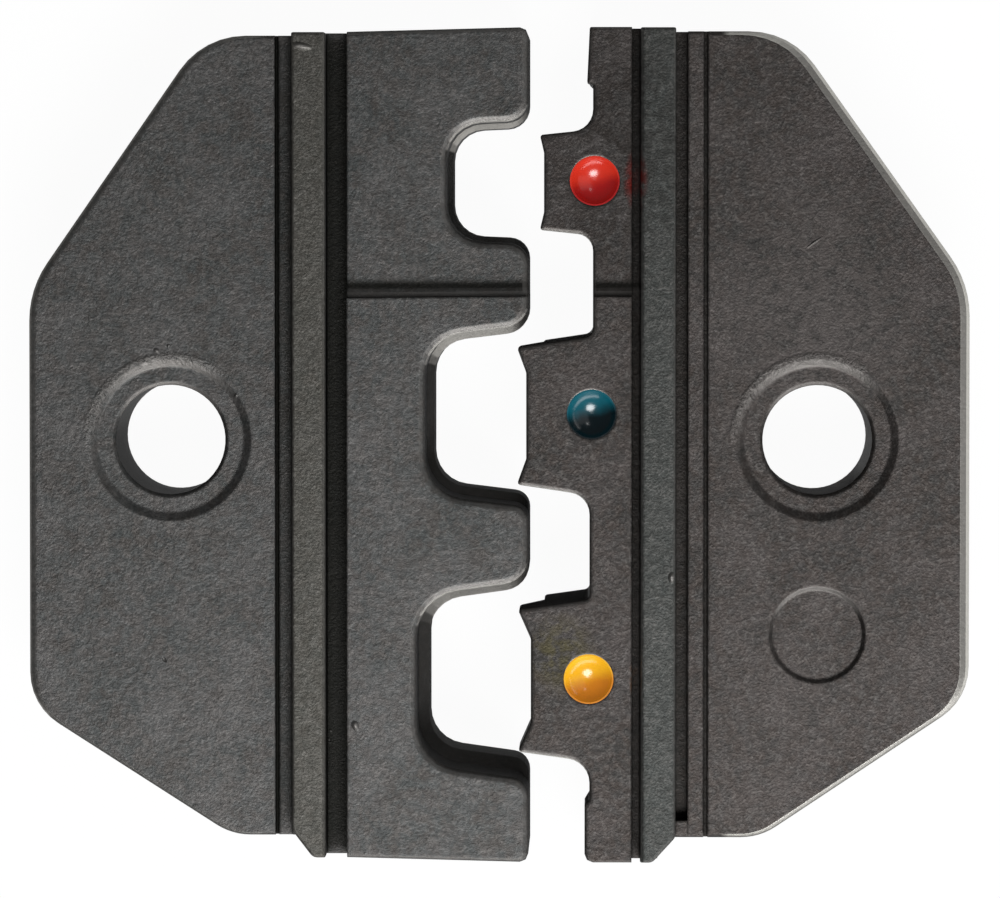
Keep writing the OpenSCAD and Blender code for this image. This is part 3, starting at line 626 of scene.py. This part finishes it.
def blackened_steel(name, hole, recess, look, blemishes, strays_and_bounce=()):
    steel = bpy.data.materials.new(name)
    steel.use_nodes = True
    tree = steel.node_tree
    shader = tree.nodes["Principled BSDF"]
    place = place_mm(tree)
    skin = use_group(tree, grain, Grain_Size=GRAIN_SIZE, Grain_Run=1.0, Cloud_Size=CLOUD_SIZE,
                     Seed=look["seed"])
    height = skin["Height"]
    edges = use_group(tree, wear, Width=0.12, Softness=0.15,
                      Break_Up=contrast(tree, height, 0.4, 0.6))
    burrs_and_glint = use_group(tree, burr_glint, Hole_X=hole.x, Hole_Y=hole.y, Rough=height)["Mask"]
    ends = use_group(tree, light_and_shade, Hole_X=hole.x, Step_Foot=STEP_FOOT_Y,
                     Soft_Normal=edges["Soft Normal"])
    on_body = contrast(tree, off_level(tree, place, (1, 0, 0), hole.x), BODY_NEAR, BODY_FAR)
    # painted shade on faces that look away from the lamps, weaker on the wings
    side_shade_mask = times(tree, ends["Mask"], maths(
        tree, "ADD", WING_SIDE_SHADE, times(tree, on_body, 1 - WING_SIDE_SHADE)))

    colour = dark_skin(tree, skin, place, look)
    colour = tint(tree, times(tree, edges["Mask"], EDGE_SHARE), colour, BARE_AND_LIT)
    # pale seat ring: partly burrs, partly a painted highlight where the seat faces the lamps
    colour = tint(tree, times(tree, burrs_and_glint, BURR_GLINT_SHARE), colour, BARE_AND_LIT)
    colour = painted_shade_and_light(tree, colour, place, height, edges, ends, side_shade_mask, on_body, look)
    kept = maths(tree, "SUBTRACT", 1.0, times(tree, ends["Lit Lip"], LIT_LIP_ON_BEVEL))
    # the bevel is painted pale, partly as ground steel and partly as painted light where it faces the
    # right-hand lamps
    bevel = times(tree, ground_and_glint_bevel(tree, place, edges["Slope"], hole, recess),
                  contrast(tree, height, 0.2, 0.4), look["bevel_ground_and_glint"], kept)
    colour = tint(tree, bevel, colour, GROUND_AND_GLINT)
    colour = stray_paint_and_bounce(tree, colour, skin["Drift"], strays_and_bounce)
    relief = maths(tree, "ADD", height, burrs_and_glint)
    colour, relief = blemished(tree, colour, relief, blemishes)

    bump = add(tree, "ShaderNodeBump")
    feed(tree, bump.inputs["Strength"], 0.62)
    feed(tree, bump.inputs["Distance"], GRAIN_DEPTH * MM)
    feed(tree, bump.inputs["Height"], relief)
    feed(tree, bump.inputs["Normal"], edges["Soft Normal"])
    matte = maths(tree, "ADD", times(tree, skin["Fine"], STEEL_ROUGHNESS_RANGE),
                  times(tree, side_shade_mask, look["side_shade"]))
    feed(tree, shader.inputs["Base Color"], colour)
    feed(tree, shader.inputs["Roughness"], maths(tree, "ADD", STEEL_ROUGHNESS, matte))
    feed(tree, shader.inputs["Normal"], bump.outputs[0])
    feed(tree, shader.inputs["Metallic"], 0.8)
    feed(tree, shader.inputs["Specular Tint"], (0.2, 0.2, 0.2, 1))
    print("material", name, "with", len(blemishes), "blemishes and", len(strays_and_bounce), "strays_and_bounce")
    return steel


# %% Describe each die's steel
PIT, BUMP = -2.5, 2.5
ROUND_MARK_Y = -9.0
# the red and yellow spot colours are painted reflections of the dots' enamel on the steel beside them
RED_BOUNCE, YELLOW_BOUNCE, OLIVE = (0.10, 0.008, 0.006), (0.09, 0.035, 0.006), (0.05, 0.045, 0.022)
DARK_PATCH, ASH = (0.012, 0.011, 0.010), (0.075, 0.069, 0.067)

# In each look, two shares set the strength of the painted shade in the grooves and on the shaded
# sides, and one sets how pale the bevel is painted, partly as painted light, which is why it is much
# stronger on the anvil die
nest_look = {
    "seed": 1.3, "cool": (0.046, 0.050, 0.050), "warm": (0.052, 0.048, 0.045),
    "light": (0.086, 0.084, 0.083), "rib": (0.056, 0.054, 0.046),
    "bevel_ground_and_glint": 0.2, "groove_shade_share": 1.0, "side_shade": 0.2}
anvil_look = {
    "seed": 7.9, "cool": (0.032, 0.031, 0.030), "warm": (0.037, 0.031, 0.028),
    "light": (0.062, 0.055, 0.053), "rib": (0.044, 0.049, 0.047),
    "bevel_ground_and_glint": 1.0, "groove_shade_share": 0.58, "side_shade": 0.4}

# Each blemish is its centre, half width, half length, angle and rise
nest_blemishes = [
    ((-6.80, -13.30), 0.20, 0.28, 0.4, BUMP), ((-8.05, -13.68), 0.15, 0.15, 0.0, BUMP),
    ((-8.10, -14.15), 0.13, 0.13, 0.0, PIT), ((-9.30, 18.87), 0.20, 0.55, 1.4, BUMP),
    ((-16.24, 4.48), 0.13, 0.18, 1.0, BUMP), ((-15.67, 4.72), 0.10, 0.10, 0.0, BUMP),
    ((-12.47, 2.36), 0.11, 0.11, 0.0, BUMP), ((-15.90, -10.20), 0.10, 0.20, 0.6, PIT)]
anvil_blemishes = [
    ((8.20, -6.23), 0.20, 0.30, 0.0, BUMP), ((14.95, 9.62), 0.08, 0.55, -0.95, BUMP)]

# Each spot is its colour, centre, half width, half length and strength
anvil_strays_and_bounce = [
    # a large darker patch over the upper part of the anvil die
    (DARK_PATCH, (5.5, 14.0), 5.5, 9.0, 0.5),
    (ASH, (15.0, 6.5), 8.0, 8.0, 0.5),
    # painted reflections of the red and yellow enamel on the steel beside the dots
    (RED_BOUNCE, (red_place.x + 1.9, red_place.y), 0.7, 1.7, 1.0),
    (YELLOW_BOUNCE, (yellow_place.x + 2.2, yellow_place.y), 0.4, 1.0, 0.8),
    (OLIVE, (yellow_place.x - 1.3, yellow_place.y + 1.2), 2.0, 2.4, 0.75)]
print("blemishes:", len(nest_blemishes), "on the nest die,", len(anvil_blemishes), "on the anvil die")

# %% Give each die its steel
nest_steel = blackened_steel("nest_steel", nest_hole, None, nest_look, nest_blemishes)
anvil_steel = blackened_steel("anvil_steel", anvil_hole, (anvil_hole.x, ROUND_MARK_Y), anvil_look,
                              anvil_blemishes, anvil_strays_and_bounce)
for node_name, steel in (("nest_die", nest_steel), ("anvil_die", anvil_steel)):
    for slot in nodes[node_name].material_slots:
        slot.material = steel

# %% [markdown]
# ## Enamel
#
# Each dot is enamel that was dripped into a drilled seat. It is glossy and dried with a
# hollow face. Its colour is painted lighter towards the far rim, as painted light, and
# darker on the near side, nearly as dark as the steel, as painted shade. The shade line
# tells how far across the dot dark turns to light, and the grain's clouds make it wavy.

# %% Mix the three enamels
LIT_DIRECTION = (-0.25, 0.97, 0)
SHADE_LINE_HALF = 0.35
ENAMEL_DEPTH = 0.05
ENAMEL_ROUGHNESS, ENAMEL_ROUGHNESS_RANGE = 0.12, 0.16


def enamel(name, centre, shaded_colour, lit_colour, shade_line):
    paint = bpy.data.materials.new(name)
    paint.use_nodes = True
    tree = paint.node_tree
    shader = tree.nodes["Principled BSDF"]
    skin = use_group(tree, grain, Grain_Size=0.3, Cloud_Size=0.9, Seed=centre.y)
    # painted light and shade: lighter towards the far rim, darker on the near side
    from_centre = vector_maths(tree, "SUBTRACT", place_mm(tree), (centre.x, centre.y, 0))
    wavy = maths(tree, "ADD", along(tree, from_centre, LIT_DIRECTION), times(tree, skin["Clouds"], 0.5))
    lit_part = contrast(tree, wavy, shade_line - SHADE_LINE_HALF, shade_line + SHADE_LINE_HALF)
    feed(tree, shader.inputs["Base Color"], tint(tree, lit_part, shaded_colour, lit_colour))
    feed(tree, shader.inputs["Roughness"], maths(
        tree, "ADD", ENAMEL_ROUGHNESS, times(tree, skin["Fine"], ENAMEL_ROUGHNESS_RANGE)))
    bump = add(tree, "ShaderNodeBump")
    feed(tree, bump.inputs["Strength"], 0.15)
    feed(tree, bump.inputs["Distance"], ENAMEL_DEPTH * MM)
    feed(tree, bump.inputs["Height"], skin["Height"])
    feed(tree, shader.inputs["Normal"], bump.outputs[0])
    print("enamel", name)
    return paint


for node_name, centre, shaded_colour, lit_colour, shade_line in (
        ("red_dot", red_place, (0.30, 0.008, 0.008), (0.52, 0.026, 0.012), 0.2),
        ("blue_dot", blue_place, (0.001, 0.005, 0.007), (0.003, 0.072, 0.098), 0.4),
        ("yellow_dot", yellow_place, (0.52, 0.18, 0.012), (0.70, 0.36, 0.012), 0.2)):
    paint = enamel(node_name + "_enamel", centre, shaded_colour, lit_colour, shade_line)
    for slot in nodes[node_name].material_slots:
        slot.material = paint

# %% [markdown]
# ## Last step
#

# %% Finish
print("finished")
